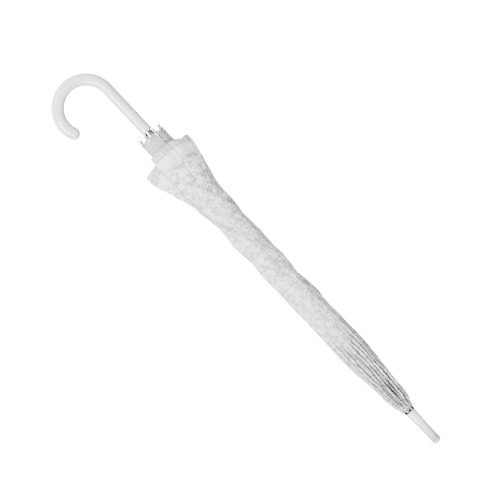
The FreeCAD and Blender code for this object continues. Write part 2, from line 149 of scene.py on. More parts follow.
# ------------------------------------------------------------------ materials
class Shader:
    """A procedural material, with short calls that add and link its nodes."""

    def __init__(self, name, roughness=0.4, metallic=0.0, color=(0.8, 0.8, 0.8)):
        self.material = bpy.data.materials.new(name)
        self.material.use_nodes = True
        self.tree = self.material.node_tree
        self.bsdf = self.tree.nodes["Principled BSDF"]
        self.set("Base Color", (*color, 1))
        self.set("Roughness", roughness)
        self.set("Metallic", metallic)

    def set(self, socket, value):
        self.bsdf.inputs[socket].default_value = value

    def node(self, kind, **settings):
        made = self.tree.nodes.new(kind)
        for key, value in settings.items():
            setattr(made, key, value)
        return made

    def link(self, source, target):
        self.tree.links.new(source, target)

    def math(self, operation, first, second=None, third=None):
        """A sum of sockets and numbers."""
        made = self.node("ShaderNodeMath", operation=operation)
        for index, value in enumerate((first, second, third)):
            if value is None:
                continue
            if isinstance(value, (int, float)):
                made.inputs[index].default_value = value
            else:
                self.link(value, made.inputs[index])
        return made.outputs[0]

    def step(self, value, low, high):
        """A smooth step from 0 at low to 1 at high."""
        made = self.node("ShaderNodeMapRange", interpolation_type="SMOOTHSTEP")
        self.link(value, made.inputs["Value"])
        made.inputs["From Min"].default_value = low
        made.inputs["From Max"].default_value = high
        return made.outputs["Result"]

    def attribute(self, name):
        return self.node("ShaderNodeAttribute", attribute_name=name).outputs["Fac"]

    def cloth_space(self):
        return self.node("ShaderNodeUVMap", uv_map="cloth").outputs["UV"]

    def object_space(self):
        return self.node("ShaderNodeTexCoord").outputs["Object"]

    def scaled(self, source, scale, turn=0.0):
        """Coordinates turned about Z and scaled."""
        mapping = self.node("ShaderNodeMapping")
        mapping.inputs["Rotation"].default_value = (0, 0, turn)
        mapping.inputs["Scale"].default_value = scale
        self.link(source, mapping.inputs["Vector"])
        return mapping.outputs["Vector"]

    def spread(self, value, low, high):
        """A value from 0 to 1 spread over low to high."""
        made = self.node("ShaderNodeMapRange")
        self.link(value, made.inputs["Value"])
        made.inputs["To Min"].default_value = low
        made.inputs["To Max"].default_value = high
        return made.outputs["Result"]

    def squares(self, x, y):
        """The sum of two squares."""
        return self.math("MULTIPLY_ADD", x, x, self.math("MULTIPLY", y, y))

    def cells(self, vector, scale, **settings):
        """A Voronoi pattern."""
        made = self.node("ShaderNodeTexVoronoi", **settings)
        self.link(vector, made.inputs["Vector"])
        made.inputs["Scale"].default_value = scale
        return made

    def noise(self, vector, scale, detail=3.0):
        made = self.node("ShaderNodeTexNoise")
        self.link(vector, made.inputs["Vector"])
        made.inputs["Scale"].default_value = scale
        made.inputs["Detail"].default_value = detail
        return made.outputs["Fac"]

    def mix(self, factor, first, second):
        """Mix two colours, each a socket or an (r, g, b)."""
        made = self.node("ShaderNodeMix", data_type="RGBA")
        self.link(factor, made.inputs["Factor"])
        for socket, value in ((made.inputs[6], first), (made.inputs[7], second)):
            if isinstance(value, tuple):
                socket.default_value = (*value, 1)
            else:
                self.link(value, socket)
        return made.outputs[2]

    def mix_value(self, factor, first, second):
        """Mix two numbers that come from sockets."""
        made = self.node("ShaderNodeMix", data_type="FLOAT")
        self.link(factor, made.inputs["Factor"])
        self.link(first, made.inputs[2])
        self.link(second, made.inputs[3])
        return made.outputs[0]

    def bump(self, height, strength, distance):
        made = self.node("ShaderNodeBump")
        made.inputs["Strength"].default_value = strength
        made.inputs["Distance"].default_value = distance
        self.link(height, made.inputs["Height"])
        self.link(made.outputs["Normal"], self.bsdf.inputs["Normal"])


def gloss_plastic(name, color, cloudy):
    """Moulded glossy plastic: faint flow marks and fine handling scratches."""
    shader = Shader(name, color=color)
    space = shader.object_space()
    cloud = shader.step(shader.noise(space, 35.0, 4.0), 0.35, 0.7)
    darker = tuple(channel - cloudy for channel in color)
    shader.link(shader.mix(cloud, color, darker), shader.bsdf.inputs["Base Color"])
    scratches = shader.noise(space, 220.0, 5.0)
    shader.link(shader.spread(scratches, 0.1, 0.24), shader.bsdf.inputs["Roughness"])
    shader.set("Coat Weight", 0.6)
    shader.set("Coat Roughness", 0.05)
    shader.set("IOR", 1.49)
    shader.bump(shader.noise(space, 60.0, 2.0), 0.04, 0.002)
    return shader.material


def bright_metal(name, color, low, high, grain):
    """Plated metal, drawn grain along Z and a little tarnish, its roughness from low to high."""
    shader = Shader(name, metallic=1.0, color=color)
    space = shader.object_space()
    grains = shader.noise(shader.scaled(space, (1.0, 1.0, 0.04)), grain, 4.0)
    shader.link(shader.spread(grains, low, high), shader.bsdf.inputs["Roughness"])
    dull = tuple(channel * 0.82 for channel in color)
    patches = shader.step(shader.noise(space, 90.0, 4.0), 0.5, 0.75)
    shader.link(shader.mix(patches, color, dull), shader.bsdf.inputs["Base Color"])
    shader.bump(grains, 0.03, 0.0004)
    return shader.material


def blossoms(shader, cloth):
    """Depth in millimetres inside the embroidery: five-petalled blossoms, leaves and stems."""
    heart_radius, least_reach, more_reach = 0.7, 3.0, 1.3
    cells = shader.cells(cloth, 88.0, voronoi_dimensions="2D")
    cells.inputs["Randomness"].default_value = 0.75
    away = shader.node("ShaderNodeVectorMath", operation="SUBTRACT")
    shader.link(cloth, away.inputs[0])
    shader.link(cells.outputs["Position"], away.inputs[1])
    offset = shader.node("ShaderNodeSeparateXYZ")
    shader.link(away.outputs[0], offset.inputs[0])
    x, y = offset.outputs["X"], offset.outputs["Y"]
    chance = shader.node("ShaderNodeSeparateColor")
    shader.link(cells.outputs["Color"], chance.inputs[0])
    distance = shader.math("MULTIPLY", shader.math("SQRT", shader.squares(x, y)), 1 / MM)
    angle = shader.math("ARCTAN2", y, x)
    angle = shader.math("MULTIPLY_ADD", chance.outputs["Red"], 2 * math.pi, angle)
    petal = shader.math("ABSOLUTE", shader.math("COSINE", shader.math("MULTIPLY", angle, 5 / 2)))
    lobes = shader.math("MULTIPLY_ADD", shader.math("POWER", petal, 0.7), 0.5, 0.5)
    size = shader.math("MULTIPLY_ADD", chance.outputs["Green"], more_reach, least_reach)
    petals = shader.math("SUBTRACT", shader.math("MULTIPLY", size, lobes), distance)
    flower = shader.math("MINIMUM", petals, shader.math("SUBTRACT", distance, heart_radius))
    tilted = shader.scaled(cloth, (1.0, 2.7, 1.0), turn=0.6)
    leaves = shader.cells(tilted, 95.0, voronoi_dimensions="2D")
    leaf = shader.math("MULTIPLY", shader.math("SUBTRACT", 0.23, leaves.outputs["Distance"]), 7.0)
    curls = shader.math("ABSOLUTE", shader.math("SUBTRACT", shader.noise(cloth, 75.0, 1.0), 0.5))
    stem = shader.math("MULTIPLY_ADD", curls, -26.0, 0.55)
    return shader.math("MAXIMUM", flower, shader.math("MAXIMUM", leaf, stem))


def hem_work(shader, cloth, band):
    """Depth in millimetres inside the hem's embroidery: rows of arches and dots under the ribbon,
    an eyelet row above it.  band is the height over the ribbon's lower edge, in millimetres."""
    arch_pitch, dot_pitch, eyelet_pitch, row_step = 15.0, 7.0, 8.0, 2.6
    thread_half, dot_radius, eyelet_radius, eyelet_rise = 0.62, 0.75, 0.85, 2.2
    place = shader.node("ShaderNodeSeparateXYZ")
    shader.link(cloth, place.inputs[0])
    along = shader.math("MULTIPLY", place.outputs["X"], 1 / MM)

    def from_middle(value, pitch):
        """Distance from the middle of a repeat."""
        return shader.math("SUBTRACT", shader.math("PINGPONG", value, pitch / 2), pitch / 4)

    arch = from_middle(along, arch_pitch)
    bow = shader.math("MULTIPLY", shader.math("MULTIPLY", arch, arch), 0.3)
    rows = shader.math("PINGPONG", shader.math("SUBTRACT", bow, band), row_step)
    arches = shader.math("SUBTRACT", thread_half, rows)
    dots = shader.squares(from_middle(along, dot_pitch), from_middle(band, 2 * row_step))
    dots = shader.math("SUBTRACT", dot_radius, shader.math("SQRT", dots))
    above = shader.math("SUBTRACT", band, RIBBON_WIDTH + eyelet_rise)
    holes = shader.math("SQRT", shader.squares(from_middle(along, eyelet_pitch), above))
    eyelets = shader.math("SUBTRACT", holes, eyelet_radius)
    below = shader.math("MAXIMUM", arches, dots)
    return shader.mix_value(shader.step(band, 4.0, 5.0), below, eyelets)


THREAD, THREAD_SHADE = (0.9, 0.9, 0.905), (0.72, 0.72, 0.73)
OUTLINE = (0.97, 0.97, 0.975)
# NET_SHADE is painted shade in the net's gaps, standing for the dark hollow inside; random flecks
# take the same grey
NET, NET_SHADE = (0.8, 0.8, 0.81), (0.4, 0.4, 0.415)
# painted shade: the grey that the hem work below the ribbon is darkened towards
HEM_PAINTED_SHADE = (0.4, 0.4, 0.41)
# FOLD_SHADE is painted shade: the dark grey that the cloth's painted-shade layer mixes into its
# colour
FOLD_SHADE = (0.07, 0.07, 0.075)


def lace_cloth(name, ground_alpha):
    """Embroidered lace: net ground, raised motifs, a satin ribbon band, and see-through holes."""
    shader = Shader(name)
    cloth = shader.cloth_space()
    band = shader.attribute("band")
    over_hem = shader.step(band, RIBBON_WIDTH + 4.4, RIBBON_WIDTH + 4.8)
    field = shader.mix_value(over_hem, hem_work(shader, cloth, band), blossoms(shader, cloth))
    inside = shader.step(field, -0.1, 0.2)
    rim = shader.math("MULTIPLY", shader.step(field, -0.3, 0.0), shader.step(field, 0.75, 0.4))
    ribbon = shader.math("MULTIPLY", shader.step(band, -0.2, 0.3),
                         shader.step(band, RIBBON_TOP, RIBBON_TOP - 0.5))
    mesh = shader.cells(cloth, 820.0, feature="DISTANCE_TO_EDGE")
    mesh.inputs["Randomness"].default_value = 0.3
    net = shader.step(mesh.outputs["Distance"], 0.22, 0.1)
    stitch = shader.node("ShaderNodeTexWave", bands_direction="DIAGONAL")
    shader.link(cloth, stitch.inputs["Vector"])
    stitch.inputs["Scale"].default_value = 420.0
    stitch.inputs["Distortion"].default_value = 3.0
    stitch.inputs["Detail"].default_value = 1.0

    fleck = shader.step(shader.noise(cloth, 420.0, 2.0), 0.44, 0.6)
    # painted shade: the net's gaps are coloured dark grey for the hollow inside seen through them;
    # random flecks also take that grey
    net_color = shader.mix(fleck, shader.mix(net, NET_SHADE, NET), NET_SHADE)
    thread_color = shader.mix(stitch.outputs["Fac"], THREAD_SHADE, THREAD)
    color = shader.mix(inside, net_color, thread_color)
    color = shader.mix(rim, color, OUTLINE)
    # painted shade: below the ribbon's lower edge the colour is darkened towards grey
    under_ribbon_shade = shader.math("MULTIPLY", shader.step(band, 0.2, -0.2), 0.4)
    color = shader.mix(under_ribbon_shade, color, HEM_PAINTED_SHADE)
    satin = shader.mix(shader.noise(cloth, 60.0, 3.0), THREAD, OUTLINE)
    color = shader.mix(ribbon, color, satin)
    # painted shade: the cloth's painted-shade layer darkens the colour towards FOLD_SHADE
    color = shader.mix(shader.attribute("painted_shade"), color, FOLD_SHADE)
    shader.link(color, shader.bsdf.inputs["Base Color"])

    solid = shader.math("MAXIMUM", inside, shader.math("MAXIMUM", rim, ribbon))
    open_ground = shader.math("MULTIPLY_ADD", net, 1.0 - ground_alpha, ground_alpha)
    shader.link(shader.math("MAXIMUM", solid, open_ground), shader.bsdf.inputs["Alpha"])
    rough = shader.math("MULTIPLY_ADD", ribbon, -0.35, 0.78)
    shader.link(rough, shader.bsdf.inputs["Roughness"])
    relief = shader.math("MULTIPLY_ADD", shader.step(field, -0.1, 1.2), 0.8,
                         shader.math("MULTIPLY", rim, 0.4))
    relief = shader.math("MULTIPLY_ADD", net, 0.2, relief)
    ridges = shader.math("MULTIPLY", stitch.outputs["Fac"], shader.math("MULTIPLY", inside, 0.3))
    relief = shader.math("MULTIPLY_ADD", ribbon, 0.8, shader.math("ADD", relief, ridges))
    shader.set("Sheen Weight", 0.25)
    shader.set("Sheen Roughness", 0.4)
    shader.bump(relief, 0.9, 0.0008)
    return shader.material


WHITE_PLASTIC = gloss_plastic("white_gloss_plastic", (0.72, 0.72, 0.725), 0.02)
RUNNER_PLASTIC = gloss_plastic("runner_plastic", (0.84, 0.84, 0.83), 0.03)
CHROME = bright_metal("chrome_plate", (0.7, 0.71, 0.73), 0.05, 0.16, 420.0)
DARK_CHROME = bright_metal("dark_chrome", (0.17, 0.17, 0.18), 0.12, 0.26, 420.0)
WIRE_STEEL = bright_metal("drawn_steel", (0.66, 0.67, 0.69), 0.2, 0.36, 700.0)
SPRING_STEEL = bright_metal("spring_steel", (0.5, 0.5, 0.52), 0.24, 0.4, 600.0)
LACE = lace_cloth("embroidered_lace", 0.62)


# ------------------------------------------------------------------ linkage, from the frame
def joint_motion(name):
    """Rotation and shift of a hinge at its far limit, as (matrix, vector) on points at rest."""
    joint = JOINTS[name]
    axis = Vector(joint["axis"])
    pivot = Vector(joint["pos_m"])
    turn = Matrix.Rotation(math.radians(joint["range_deg"][1]), 3, axis)
    return np.array(turn), np.array(pivot - turn @ pivot)


def spread_shift(joint):
    """How far a gore's joint has moved its cloth at the open limit."""
    return np.array(joint["axis"]) * joint["range_m"][1]


HINGE_NAMES = ["rib_%d_hinge" % (rib + 1) for rib in range(RIBS)]
HINGES = [joint_motion(name) for name in HINGE_NAMES]
HINGE_PLACES = [JOINTS[name]["pos_m"] for name in HINGE_NAMES]
RIB_AZIMUTH = [math.atan2(place[1], place[0]) for place in HINGE_PLACES]
SHIFTS = [spread_shift(JOINTS["gore_%d_spread" % (rib + 1)]) for rib in range(RIBS)]
CROWN = HINGE_PLACES[0][2]
HINGE_RADIUS = math.hypot(*HINGE_PLACES[0][:2])


def to_rib(rib, points):
    """World points at the open limit, seen from the rib's rest frame."""
    turn, shift = HINGES[rib]
    return (points - shift) @ turn


def opened(rib, points):
    """Points that follow a rib, at the open limit."""
    turn, shift = HINGES[rib]
    return points @ turn.T + shift


# ------------------------------------------------------------------ the furled canopy's shape
# heights of the cloth's top, its hem at the ribs' seams, and the ribbon's lower edge elsewhere
CANOPY_TOP = 0.5195
SEAM_HEM = 0.0470
RIBBON_LEVEL = 0.078
# the ribs lean out by this much of their length
RIB_LENGTH = 0.477
RIB_LEAN = 0.010 / RIB_LENGTH
ROD_TO_CLOTH = 0.0017
# the lace edging under the ribbon, and how much lower the hem is at a seam
EDGING = 0.0085
POINT_DROP = RIBBON_LEVEL - EDGING - SEAM_HEM
SCALLOP_PITCH, SCALLOP_DROP = 0.0075, 0.0016
# between these heights the hem flares out from the neck
FLARE_TOP, FLARE_FOOT = 0.161, 0.084
PLEAT_FOOT = 0.37
BODY_RADIUS = 0.0193
# height above the crook's grip, and the bundle's radius there
BUNDLE = np.array([
    (0.050, 0.0193), (0.157, 0.0195), (0.190, 0.0189), (0.250, 0.0194), (0.300, 0.0188),
    (0.350, 0.0194), (0.400, 0.0197), (0.425, 0.0200), (0.440, 0.0188), (0.450, 0.0177),
    (0.464, 0.0166), (0.477, 0.0156), (0.492, 0.0143), (0.508, 0.0131), (0.516, 0.0117),
    (0.5195, 0.0106)])
# each flap at the hem: the radius of its fold edge, how far the hem rises there, how far it wraps
# in degrees, how far the hem rises where the flap comes out from under the one before, and how far
# it wraps half way up
Flap = namedtuple("Flap", "radius rise wrap first_rise high_wrap")
FLAPS = [
    Flap(0.034, 0.008, 95, 0.012, 120), Flap(0.034, 0.009, 95, 0.008, 120),
    Flap(0.037, 0.008, 97, 0.009, 124), Flap(0.031, 0.001, 95, 0.007, 114),
    Flap(0.031, 0.000, 112, 0.001, 130), Flap(0.0425, 0.020, 104, 0.012, 141),
    Flap(0.0465, 0.021, 96, 0.020, 124), Flap(0.034, 0.012, 95, 0.021, 114)]
HEM_HEIGHT, HIGH_HEIGHT = 0.075, 0.200
# the rise from the close cuff to the bell, just under the edge of the flap before
WALL_WIDTH = math.radians(5)
WALL_MARGIN = math.radians(2.5)
# how far before the bell the hem starts to rise
HEM_LEAD = math.radians(3)
# the room that one layer of cloth takes
LAYER = 0.0005
# how far the inner layers lie inside the fold's edge, the bundle, the bell and the pleats
UNDER_EDGE, UNDER_BUNDLE, UNDER_BELL, UNDER_PLEATS = 0.0002, 0.0016, 0.0011, 0.0028
CHORD_TILT = math.radians(20)
SEAM_SHARE, FOLD_SHARE = 0.2, 0.12
# slow swells of the bundle: height, radians per metre of height, per radian round, and phase
SWELLS = ((0.0007, 118, 2.1, 0.0), (0.0005, 61, -3.0, 1.0))
SNAP_LEVEL, SNAP_REACH, SNAP_TURN, SNAP_SWELL = 0.162, 0.013, math.radians(19), 0.0047


def bundle_radius(height):
    """Radius of the outermost layer, smoothed between the given heights."""
    total = 0
    for shift in (-0.008, -0.004, 0.0, 0.004, 0.008):
        total = total + np.interp(height + shift, BUNDLE[:, 0], BUNDLE[:, 1])
    return total / 5


def rib_radius(height):
    """Where the cloth is sewn to a rib: on the rod's outer side."""
    return HINGE_RADIUS + (CROWN - height) * RIB_LEAN + ROD_TO_CLOTH


def flare_share(height):
    """How much of the hem's flare a height has: none above the neck, then almost straight."""
    down = np.clip((FLARE_TOP - height) / (FLARE_TOP - FLARE_FOOT), 0, 1)
    return 0.7 * down + 0.3 * smoothstep(down)


def passed(rib, turn):
    """How far along the part of a flap that shows a turn is: 0 where it comes out from under the
    flap before it, 1 at its fold edge."""
    start = math.radians(FLAPS[rib - 1].wrap) - RIB_STEP
    return smoothstep((turn - start) / (math.radians(FLAPS[rib].wrap) - start))


def past_wall(rib, turn):
    """0 on the part of a flap that lies close as the cuff, 1 on the part that carries on the bell.
    The rise between them stays hidden under the fold edge of the flap before it."""
    end = math.radians(FLAPS[rib - 1].wrap) - RIB_STEP - WALL_MARGIN
    return smoothstep((turn - end) / WALL_WIDTH + 1)


def wrapped(rib, turn, height, share):
    """A point of flap rib: turn past its seam, at a height, share 0 at the seam and 1 at the fold.
    Up to the wall it lies close, as the cuff; past it, it carries on the bell round the hem."""
    shown = passed(rib, turn)
    edge_radius = FLAPS[rib - 1].radius * (1 - shown) + FLAPS[rib].radius * shown
    azimuth = RIB_AZIMUTH[rib] + turn
    buried = LAYER * turn_left(turn, share) / RIB_STEP
    swell = sum(size * np.sin(height * rate + azimuth * round_rate + phase)
                for size, rate, round_rate, phase in SWELLS)
    calm = smoothstep((0.40 - height) / 0.06)
    flare = flare_share(height)
    belled = flare * past_wall(rib, turn)
    ruffle = 0.0012 * np.sin(9 * azimuth + 1.3)
    radius = bundle_radius(height) - buried + swell * calm * (1 - flare)
    radius = radius + belled * (edge_radius - BODY_RADIUS + ruffle)
    radius = radius + snap_bulge(height, azimuth, turn)
    sewn = smoothstep(share / SEAM_SHARE)
    radius = np.minimum(rib_radius(height), radius) * (1 - sewn) + radius * sewn
    return np.stack([radius * np.cos(azimuth), radius * np.sin(azimuth), height + 0 * radius], -1)


def snap_bulge(height, azimuth, turn):
    """The layers that lie over the tie strap's snap stand out a little above it."""
    away = np.mod(azimuth - RIB_AZIMUTH[0] + math.pi, 2 * math.pi) - math.pi
    near = np.exp(-((height - SNAP_LEVEL) / SNAP_REACH) ** 2 - (away / SNAP_TURN) ** 2)
    return SNAP_SWELL * near * smoothstep(turn / math.radians(18) - 1)


def turn_left(turn, share):
    """The angle from a point of the flap to its fold edge."""
    tiny = 1e-6
    return np.where(share > tiny, turn * (1 - share) / np.maximum(share, tiny), RIB_STEP * 2)


def hem_level(rib, turn, at_seam):
    """The heights of a flap's ribbon and hem; towards the seam the hem drops to the cuff's edge."""
    shown = passed(rib, turn)
    ribbon = RIBBON_LEVEL + FLAPS[rib].first_rise * (1 - shown) + FLAPS[rib].rise * shown
    ribbon = ribbon * (1 - at_seam) + RIBBON_LEVEL * at_seam
    return ribbon, ribbon - EDGING - POINT_DROP * at_seam


class Blend:
    """The weight that a straight start and end give, exactly as the frame's blend works it out."""

    def __init__(self, start, end):
        self.start = np.array(start)
        self.end = np.array(end)

    def raw(self, points):
        """The share of the way from start to end, before it is smoothed."""
        along = self.end - self.start
        return ((points - self.start) @ along) / (along @ along)

    def weight(self, points):
        return smoothstep(self.raw(points))


def blend_from(point, value, slope):
    """The blend whose unsmoothed weight is value at a point and grows by slope per metre."""
    start = np.array(point) - slope * value / (slope @ slope)
    return Blend(start, start + slope / (slope @ slope))


def outer_blend(rib):
    """Outer flap: across the bundle from the rib's seam, so that the fold edge takes about a third
    of the gore at the hem and almost nothing at the crown."""
    azimuth = RIB_AZIMUTH[rib]
    foot = (math.cos(azimuth) * BODY_RADIUS, math.sin(azimuth) * BODY_RADIUS, SEAM_HEM)
    across = np.array([-math.sin(azimuth + CHORD_TILT), math.cos(azimuth + CHORD_TILT), 0])
    width = 5.2 * FLAPS[rib].radius
    return blend_from(foot, 0.0, across / width + np.array([0, 0, -0.06 / (CROWN - SEAM_HEM)]))


def inner_blend(rib):
    """Inner layer: it grows down the next rib's seam so that its last edge follows that rib at
    every height, and its slopes across are those that meet the flap's weight at the fold, both at
    the hem and half way up."""
    at_foot, drop = 0.9, -0.8 / (CROWN - SEAM_HEM)
    azimuth = RIB_AZIMUTH[rib] + RIB_STEP
    outward = np.array([math.cos(azimuth), math.sin(azimuth), 0])
    back = np.array([math.sin(azimuth), -math.cos(azimuth), 0])
    foot = outward * rib_radius(SEAM_HEM) + np.array([0, 0, SEAM_HEM])
    outer = outer_blend(rib)
    rows, values = [], []
    for height, degrees in ((HEM_HEIGHT, FLAPS[rib].wrap), (HIGH_HEIGHT, FLAPS[rib].high_wrap)):
        away = wrapped(rib, math.radians(degrees), height, 1.0) - foot
        rows.append((away @ back, away @ outward + RIB_LEAN * away[2]))
        values.append(outer.raw(away + foot) - at_foot - drop * away[2])
    across, out = np.linalg.solve(rows, values)
    slope = across * back + out * outward + np.array([0, 0, drop + out * RIB_LEAN])
    return blend_from(foot, at_foot, slope)


def solve(low, high, gap, rounds=40):
    """Bisect each entry between low and high, where gap falls from above 0 to below 0."""
    for _ in range(rounds):
        middle = (low + high) / 2
        above = gap(middle) > 0
        low = np.where(above, middle, low)
        high = np.where(above, high, middle)
    return (low + high) / 2


def drawn_in(points, limit):
    """Points moved towards the shaft's axis where they lie beyond a limiting radius."""
    radius = np.hypot(points[:, 0], points[:, 1])
    scale = np.minimum(1, limit / radius)
    return points * np.stack([scale, scale, np.ones_like(scale)], -1)


def nearest_root(guess, gap, reach=0.15, count=601):
    """For each entry, the weight nearest to the guess at which the gap changes sign."""
    tries = np.clip(guess[None, :] + np.linspace(-reach, reach, count)[:, None], 0, 1)
    gaps = np.array([gap(row) for row in tries])
    found = np.empty(len(guess))
    for entry in range(len(guess)):
        values, weights = gaps[:, entry], tries[:, entry]
        changes = np.nonzero(values[:-1] * values[1:] <= 0)[0]
        if len(changes) == 0:
            found[entry] = weights[np.argmin(np.abs(values))]
            continue
        best = changes[np.argmin(np.abs(weights[changes] - guess[entry]))]
        rise = values[best + 1] - values[best]
        part = 0.0 if abs(rise) < 1e-12 else -values[best] / rise
        found[entry] = weights[best] + (weights[best + 1] - weights[best]) * part
    return found


# where the gores' pattern starts along the cloth, and the radii that measure it round the bundle
GORE_U, FOLD_U_RADIUS, LEAST_U_RADIUS, SCALLOP_RADIUS = 2.4, 0.019, 0.012, 0.024
# how far an inner layer passes its seam at the hem, when open
SEAM_OVERLAP = 0.009
OUTER_ROWS, OUTER_COLUMNS = 320, 56
INNER_ROWS, INNER_COLUMNS = 170, 84


def scallops(along):
    """The hem's scalloped outline, as a drop below the hem line."""
    return SCALLOP_DROP * np.abs(np.cos(np.pi * along / SCALLOP_PITCH))


def fold_turns(rib, heights):
    """How far the flap wraps at each height: where the outer and inner blends give one weight."""
    outer, inner = outer_blend(rib), inner_blend(rib)

    def gap(turn):
        points = wrapped(rib, turn, heights, np.ones_like(turn))
        return inner.weight(points) - outer.weight(points)

    low, high = (np.full_like(heights, math.radians(degrees)) for degrees in (30, 135))
    return np.clip(solve(low, high, gap), math.radians(48), math.radians(134))


def pleats(height, azimuth):
    """Thin uneven pleats gathered under the crown, deeper towards it, with slits between some."""
    depth = smoothstep((height - PLEAT_FOOT) / 0.09)
    depth = depth * (1 - 0.35 * smoothstep((height - 0.50) / 0.02))
    wander = 0.5 * np.sin(height * 43 + azimuth * 3) + 0.3 * np.sin(height * 97 - azimuth * 5)
    ridges = np.sin(23 * azimuth + 2.2 * wander) + 0.6 * np.sin(37 * azimuth - 3.0 * wander)
    slits = smoothstep((np.sin(13 * azimuth + 2.4 * wander) - 0.35) / 0.3)
    slits = slits * smoothstep((height - 0.455) / 0.03)
    return depth * (0.0009 * ridges - 0.0015 * smoothstep(-ridges - 0.4)) - 0.0013 * slits


def pleat_shade(gathers):
    """Painted shade: how dark the pleats' valleys are painted."""
    return smoothstep((0.0003 - gathers) / 0.0012)


def drape(rib, height, turn, share):
    """Long soft folds that wind down the furled flap, none at its seam and fold edge: how far
    they stand out, and the painted shade of the dips beside them."""
    phase = 87 * height + 3 * turn + 2.6 * rib + 0.7 * np.sin(31 * height + rib)
    ridge = np.exp(-(2.6 * np.sin(phase / 2)) ** 2)
    ridge = ridge + 0.5 * np.exp(-(3.4 * np.sin(phase + 1.1)) ** 2)
    # painted shade in the dip beside each fold
    dip = np.exp(-(3.0 * np.sin(phase / 2 - 0.55)) ** 2)
    strength = 0.65 + 0.35 * np.sin(41 * height + 1.9 * rib + 2 * turn)
    reach = smoothstep((height - 0.085) / 0.04) * smoothstep((0.42 - height) / 0.08)
    edges = smoothstep(share / SEAM_SHARE) * smoothstep((1 - share) / FOLD_SHARE)
    return 0.0023 * ridge * strength * reach * edges, 0.5 * dip * strength * reach * edges


def outer_shade(rib, height, turn, near_seam, gathers):
    """Painted shade: how dark the cloth is painted in its pleats' valleys, under the cuff and, as a
    painted shadow, where it comes out from under the flap before it."""
    # painted shade in the pleats' valleys, on the cuff, and a painted shadow along the edge where
    # the flap comes out
    pleated = pleat_shade(gathers) * smoothstep((height - PLEAT_FOOT) / 0.05)
    cuff = 0.2 * smoothstep((0.074 - height) / 0.006) + 0.25 * smoothstep((0.053 - height) / 0.005)
    emerging = fold_turns(rib - 1, height[:, -1])[:, None] - RIB_STEP
    tucked = 0.55 * np.exp(-((turn - emerging) / math.radians(3.2)) ** 2)
    return np.maximum(np.maximum(pleated, near_seam * cuff), tucked)


def make_outer(rib):
    """The flap from the rib's seam out to its fold edge."""
    share = np.linspace(0, 1, OUTER_COLUMNS)[None, :]
    down = np.linspace(0, 1, OUTER_ROWS)[:, None]
    hem_turn = share * math.radians(FLAPS[rib].wrap)
    near_seam = 1 - past_wall(rib, hem_turn + HEM_LEAD)
    ribbon, hem = hem_level(rib, hem_turn, near_seam)
    hem = hem - scallops(hem_turn * SCALLOP_RADIUS)
    height = CANOPY_TOP + (hem - CANOPY_TOP) * down
    turn = share * fold_turns(rib, height[:, -1])[:, None]
    azimuth = RIB_AZIMUTH[rib] + turn
    band = (height - ribbon) / MM
    ribbon_raise = 0.0005 * smoothstep((band + 0.2) / 0.6) * smoothstep((RIBBON_TOP - band) / 0.6)
    lip = 0.0010 * np.exp(-((1 - share) * 14) ** 2) - 0.0011 * smoothstep((share - 0.975) / 0.025)
    gathers = pleats(height, azimuth)
    folds, dips = drape(rib, height, turn, share)
    offset = ribbon_raise + lip + gathers + folds
    offset[:, 0] = 0
    out = np.stack([np.cos(azimuth), np.sin(azimuth), 0 * azimuth], -1)
    points = wrapped(rib, turn, height, share + 0 * turn) + out * offset[..., None]
    u = turn * np.maximum(bundle_radius(height), LEAST_U_RADIUS)
    # painted shade: pleats, cuff, tucked edge and the dips beside the folds
    painted_shade = np.maximum(outer_shade(rib, height, turn, near_seam, gathers), dips)
    thing = cloth_piece("gore_%d_outer" % (rib + 1), points, u + GORE_U, height, band, painted_shade)
    return thing, points, outer_blend(rib)


def resampled(values):
    """Values or points down an outer piece's edge, at the inner piece's rows."""
    old, new = np.linspace(0, 1, OUTER_ROWS), np.linspace(0, 1, INNER_ROWS)
    if values.ndim == 1:
        return np.interp(new, old, values)
    return np.stack([np.interp(new, old, values[:, k]) for k in range(3)], -1)


def placed(blend, shift, guess, wanted, limit):
    """The rest points that open onto the wanted ones, kept inside a radius: what drawing them in
    costs at the open limit is made up for by aiming further on."""
    target, best, least = wanted, wanted, np.full(len(wanted), np.inf)
    for _ in range(6):
        def gap(weight):
            return weight - blend.weight(target - weight[:, None] * shift)

        edge = target - nearest_root(guess, gap)[:, None] * shift
        edge = drawn_in(edge, limit(edge))
        missed = wanted - edge - blend.weight(edge)[:, None] * shift
        amount = np.linalg.norm(missed, axis=1)
        better = amount < least
        best, least = np.where(better[:, None], edge, best), np.minimum(amount, least)
        target = target + 0.7 * missed
    return best


def turns_past(rib, points):
    """The angles of an edge's points past a rib's seam."""
    return np.unwrap(np.arctan2(points[:, 1], points[:, 0])) - RIB_AZIMUTH[rib]


